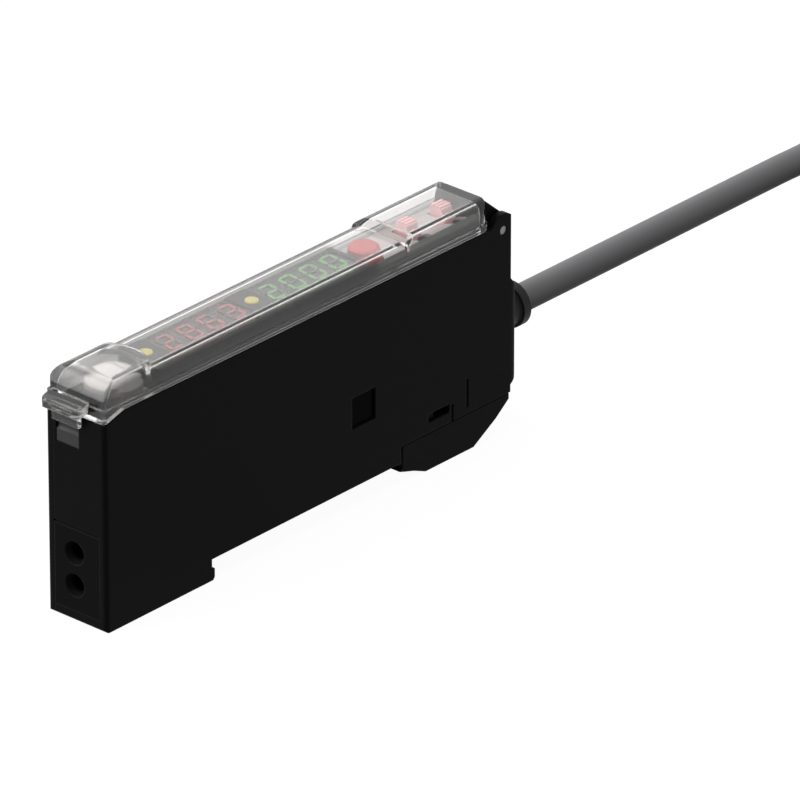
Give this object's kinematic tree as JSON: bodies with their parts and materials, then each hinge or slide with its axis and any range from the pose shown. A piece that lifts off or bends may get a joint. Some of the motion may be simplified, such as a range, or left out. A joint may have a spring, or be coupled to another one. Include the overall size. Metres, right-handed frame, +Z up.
{
  "type": "fibre optic sensor amplifier",
  "caption": "Slim rail-mounted fibre optic sensor amplifier with fibre ports, smoked hinged cover over displays and controls, sprung rail latch and a coiled cable.",
  "frame": {"origin": "centre of the object's length and width at the level of the foot, without its cable", "axes": "+X along the body from the fibre ports to the cable, +Y across the body to the side cover, +Z up"},
  "size_m": [0.2167, 0.0434, 0.0341],
  "materials": {
    "black_case": "satin moulded",
    "port_black": "matt moulded",
    "lever_grey": "satin moulded",
    "steel": "plain",
    "pin_dark": "blackened",
    "catch_grey": "satin moulded",
    "smoked_clear": "clear moulded",
    "board_green": "solder resist",
    "chip_black": "moulded",
    "tin": "tinned",
    "capacitor": "sleeved",
    "red_lens": "clear red",
    "dark_lens": "dark clear",
    "display_red": "dark face",
    "digits_red": "lit bars",
    "display_green": "dark face",
    "digits_green": "lit bars",
    "amber_lamp": "lit lens",
    "panel_grey": "satin moulded",
    "plate_pale": "satin moulded",
    "button_red": "moulded",
    "switch_pale": "moulded",
    "knob_pink": "moulded",
    "gland_rubber": "moulded",
    "cable_grey": "extruded jacket",
    "tie_black": "moulded",
    "core_brown": "insulation",
    "core_blue": "insulation",
    "core_black": "insulation",
    "core_white": "insulation",
    "copper": "bare strands"
  },
  "bodies": {
    "body": {"housing": "black_case", "side_cover": "black_case", "port_block": "port_black", "optic_holder": "chip_black", "emitter": "red_lens", "receiver": "dark_lens", "receiver_shield": "tin", "lever_pin": "steel", "jaw_pin": "steel", "main_board": "board_green", "processor": "chip_black", "regulator": "chip_black", "capacitors": "capacitor", "output_transistor": "chip_black", "board_header": "chip_black", "display_board": "board_green", "red_display": "display_red", "red_digits": "digits_red", "green_display": "display_green", "green_digits": "digits_green", "output_lamp": "amber_lamp", "channel_lamp": "amber_lamp", "top_panel": "panel_grey", "control_plate": "plate_pale", "set_switch": "tin", "polarity_switch": "switch_pale", "mode_switch": "switch_pale", "hinge_pin": "pin_dark", "cover_catch": "catch_grey", "latch_spring": "steel", "link_window_near": "dark_lens", "link_window_far": "dark_lens", "cable_gland": "gland_rubber", "core_wires": "core_brown", "cable_run": "cable_grey", "cable_coil": "cable_grey", "coil_tie": "tie_black", "cable_tail": "cable_grey", "brown_lead": "core_brown", "blue_lead": "core_blue", "black_lead": "core_black", "white_lead": "core_white", "lead_tips": "copper"},
    "cover": {"dust_cover": "smoked_clear", "hinge_arm": "black_case"},
    "lever": {"clamp_lever": "lever_grey"},
    "clamp": {"clamp_jaw": "steel"},
    "button": {"set_button": "button_red"},
    "polarity": {"polarity_knob": "knob_pink"},
    "mode": {"mode_knob": "knob_pink"},
    "latch": {"rail_latch": "black_case"}
  },
  "joints": [
    {"name": "cover_hinge", "type": "hinge", "parent": "body", "child": "cover", "pos_m": [0.0345, 0, 0.0289], "axis": [0, 1, 0], "range_deg": [0, 110]},
    {"name": "lever_hinge", "type": "hinge", "parent": "body", "child": "lever", "pos_m": [-0.0313, 0, 0.01685], "axis": [0, -1, 0], "range_deg": [0, 9]},
    {"name": "clamp_hinge", "type": "hinge", "parent": "body", "child": "clamp", "pos_m": [-0.0249, 0, 0.01445], "axis": [0, 1, 0], "range_deg": [0, 4.05]},
    {"name": "button_press", "type": "slide", "parent": "body", "child": "button", "axis": [0, 0, -1], "range_m": [0, 0.0004], "stiffness_N_per_m": 600, "springref_m": -0.0004},
    {"name": "polarity_slide", "type": "slide", "parent": "body", "child": "polarity", "axis": [0, -1, 0], "range_m": [0, 0.0022]},
    {"name": "mode_slide", "type": "slide", "parent": "body", "child": "mode", "axis": [0, -1, 0], "range_m": [0, 0.0022]},
    {"name": "latch_slide", "type": "slide", "parent": "body", "child": "latch", "axis": [1, 0, 0], "range_m": [0, 0.0025], "stiffness_N_per_m": 1500, "springref_m": -0.001, "deforming": ["latch_spring"]}
  ],
  "couplings": [
    {"joint": "clamp_hinge", "follows": "lever_hinge", "ratio": 0.45}
  ]
}
